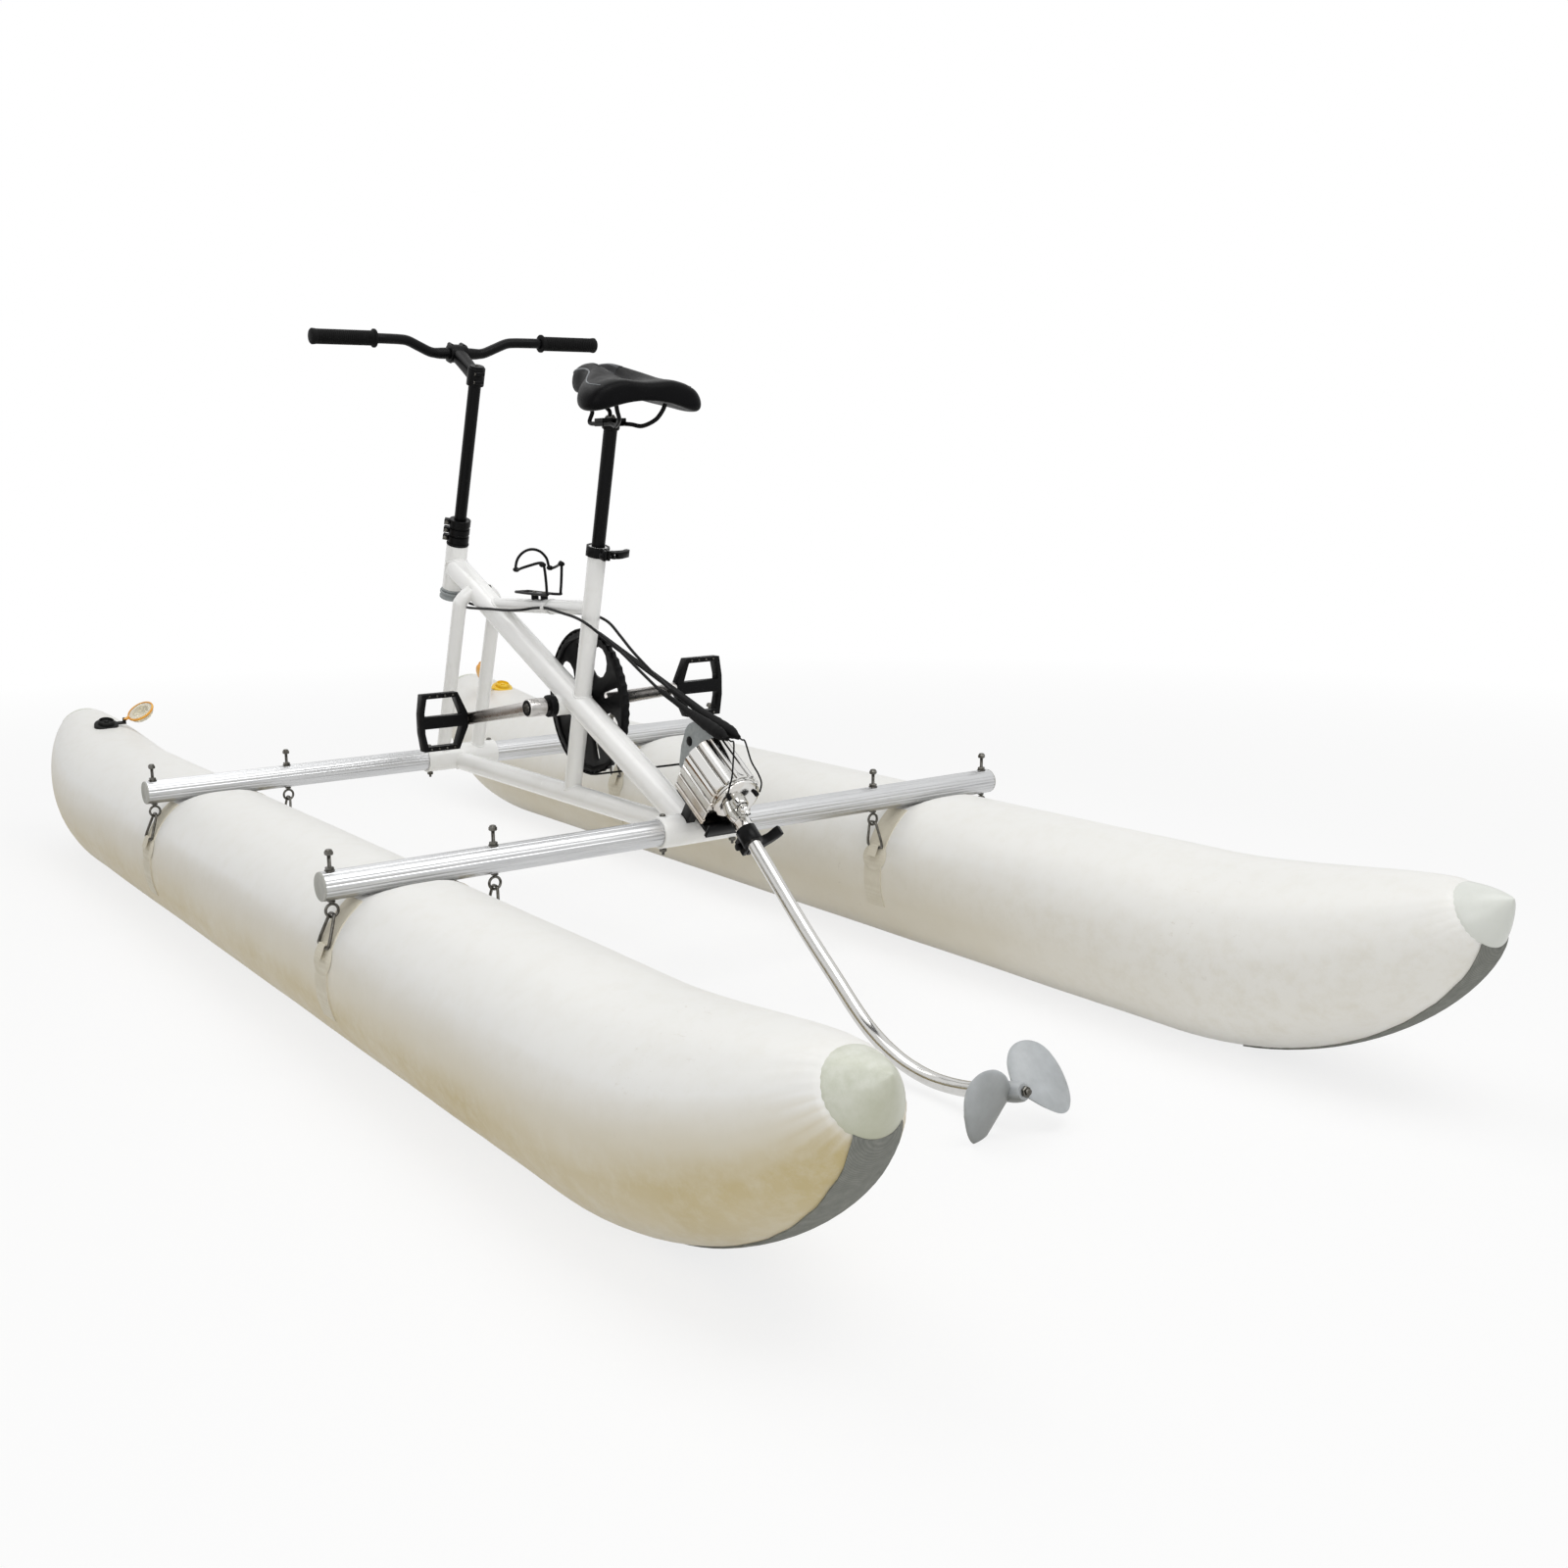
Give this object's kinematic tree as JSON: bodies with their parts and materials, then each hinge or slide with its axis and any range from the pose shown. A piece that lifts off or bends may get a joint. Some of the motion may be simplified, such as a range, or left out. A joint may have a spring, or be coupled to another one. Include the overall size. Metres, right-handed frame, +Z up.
{
  "type": "pedal water bike",
  "caption": "Pedal water bike: a bicycle frame on two inflatable floats, with a belt drive and a steerable propeller leg at the stern.",
  "frame": {"origin": "on the ground under the middle of the craft's length and width", "axes": "+X forward towards the bows, +Y to the rider's left, +Z up"},
  "size_m": [3.4764, 1.51, 1.298],
  "materials": {
    "float_fabric": "satin",
    "end_cap": "satin",
    "frame_paint": "gloss",
    "bar_aluminium": "satin",
    "stainless": "polished",
    "steel": "satin",
    "polished_alloy": "polished",
    "cast_grey": "matte",
    "black_paint": "satin",
    "crank_alloy": "satin",
    "black_plastic": "satin",
    "belt_rubber": "matte",
    "grip_rubber": "matte",
    "saddle_cover": "satin",
    "propeller_plastic": "satin",
    "valve_rubber": "matte",
    "valve_cap_plastic": "gloss"
  },
  "bodies": {
    "craft": {"base_tube": "frame_paint", "bottle_cage": "black_paint", "bottom_bracket_shell": "frame_paint", "down_tube": "frame_paint", "drive_belt": "belt_rubber", "drive_bracket": "black_paint", "front_left_crossbar": "bar_aluminium", "front_right_crossbar": "bar_aluminium", "front_sleeve": "frame_paint", "gearbox_housing": "polished_alloy", "head_tube": "frame_paint", "left_bow_cap": "end_cap", "left_bracket_cup": "black_paint", "left_front_leg": "frame_paint", "left_pontoon": "float_fabric", "left_steering_cable": "grip_rubber", "left_stern_cap": "end_cap", "left_valve_base": "valve_rubber", "lower_headset_cup": "cast_grey", "rear_left_crossbar": "bar_aluminium", "rear_right_crossbar": "bar_aluminium", "rear_sleeve": "frame_paint", "right_bow_cap": "end_cap", "right_bracket_cup": "black_paint", "right_front_leg": "frame_paint", "right_pontoon": "float_fabric", "right_steering_cable": "grip_rubber", "right_stern_cap": "end_cap", "right_valve_base": "valve_rubber", "seat_clamp": "black_paint", "seat_tube": "frame_paint", "side_plate": "cast_grey", "top_tube": "frame_paint", "upper_headset_cup": "cast_grey"},
    "steering": {"handlebar_post": "black_paint", "steering_drum": "cast_grey", "post_clamp": "black_paint", "stem": "black_paint", "handlebar": "black_paint", "left_grip": "grip_rubber", "right_grip": "grip_rubber"},
    "seat": {"seat_post": "black_paint", "saddle": "saddle_cover", "saddle_rails": "black_paint"},
    "seat_lever": {"seat_clamp_lever": "black_paint"},
    "crankset": {"crank_axle": "steel", "left_crank": "crank_alloy", "right_crank": "crank_alloy", "belt_pulley": "black_plastic"},
    "left_pedal_body": {"left_pedal": "black_plastic"},
    "right_pedal_body": {"right_pedal": "black_plastic"},
    "small_pulley_body": {"small_pulley": "black_plastic"},
    "output_shaft": {"output_coupling": "steel"},
    "leg": {"swivel_head": "polished_alloy", "leg_clamp": "black_paint", "leg_tube": "stainless"},
    "leg_lever": {"leg_clamp_lever": "black_paint"},
    "propeller_body": {"propeller": "propeller_plastic"},
    "left_cap": {"left_valve_cap": "valve_cap_plastic"},
    "right_cap": {"right_valve_cap": "valve_cap_plastic"}
  },
  "joints": [
    {"name": "steering_turn", "type": "hinge", "parent": "craft", "child": "steering", "pos_m": [0.49884, 0, 0.768], "axis": [-0.3256, 0, 0.9455], "range_deg": [-40, 40]},
    {"name": "seat_height", "type": "slide", "parent": "craft", "child": "seat", "axis": [-0.2487, 0, 0.9686], "range_m": [-0.12, 0.04]},
    {"name": "seat_lever_swing", "type": "hinge", "parent": "craft", "child": "seat_lever", "pos_m": [-0.18477, -0.0175, 0.8215], "axis": [-0.2487, 0, 0.9686], "range_deg": [-90, 0]},
    {"name": "crank_turn", "type": "hinge", "parent": "craft", "child": "crankset", "pos_m": [-0.02016, 0, 0.507], "axis": [0, 1, 0], "continuous": true},
    {"name": "left_pedal_turn", "type": "hinge", "parent": "crankset", "child": "left_pedal_body", "pos_m": [0.14612, 0, 0.47165], "axis": [0, 1, 0], "continuous": true},
    {"name": "right_pedal_turn", "type": "hinge", "parent": "crankset", "child": "right_pedal_body", "pos_m": [-0.18645, 0, 0.54234], "axis": [0, 1, 0], "continuous": true},
    {"name": "small_pulley_turn", "type": "hinge", "parent": "craft", "child": "small_pulley_body", "pos_m": [-0.46816, 0, 0.484], "axis": [0, 1, 0], "continuous": true},
    {"name": "output_shaft_turn", "type": "hinge", "parent": "craft", "child": "output_shaft", "pos_m": [-0.56516, 0, 0.437], "axis": [-0.8241, 0, -0.5664], "continuous": true},
    {"name": "leg_swing", "type": "hinge", "parent": "craft", "child": "leg", "pos_m": [-0.56516, 0, 0.437], "axis": [-0.8241, 0, -0.5664], "range_deg": [-40, 40]},
    {"name": "leg_lever_swing", "type": "hinge", "parent": "leg", "child": "leg_lever", "pos_m": [-0.64294, -0.0195, 0.31428], "axis": [-0.7612, 0, -0.6485], "range_deg": [-90, 0]},
    {"name": "propeller_turn", "type": "hinge", "parent": "leg", "child": "propeller_body", "pos_m": [-1.32216, 0, 0.063], "axis": [-0.9549, 0, 0.2971], "continuous": true},
    {"name": "left_cap_swing", "type": "hinge", "parent": "craft", "child": "left_cap", "pos_m": [1.42572, 0.546, 0.35975], "axis": [0.9412, 0, 0.3378], "range_deg": [-150, 0]},
    {"name": "right_cap_swing", "type": "hinge", "parent": "craft", "child": "right_cap", "pos_m": [1.42572, -0.546, 0.35975], "axis": [0.9412, 0, 0.3378], "range_deg": [0, 110]}
  ],
  "couplings": [
    {"joint": "small_pulley_turn", "follows": "crank_turn", "ratio": 4},
    {"joint": "output_shaft_turn", "follows": "crank_turn", "ratio": 8},
    {"joint": "propeller_turn", "follows": "crank_turn", "ratio": 8},
    {"joint": "leg_swing", "follows": "steering_turn", "ratio": 0.83}
  ]
}
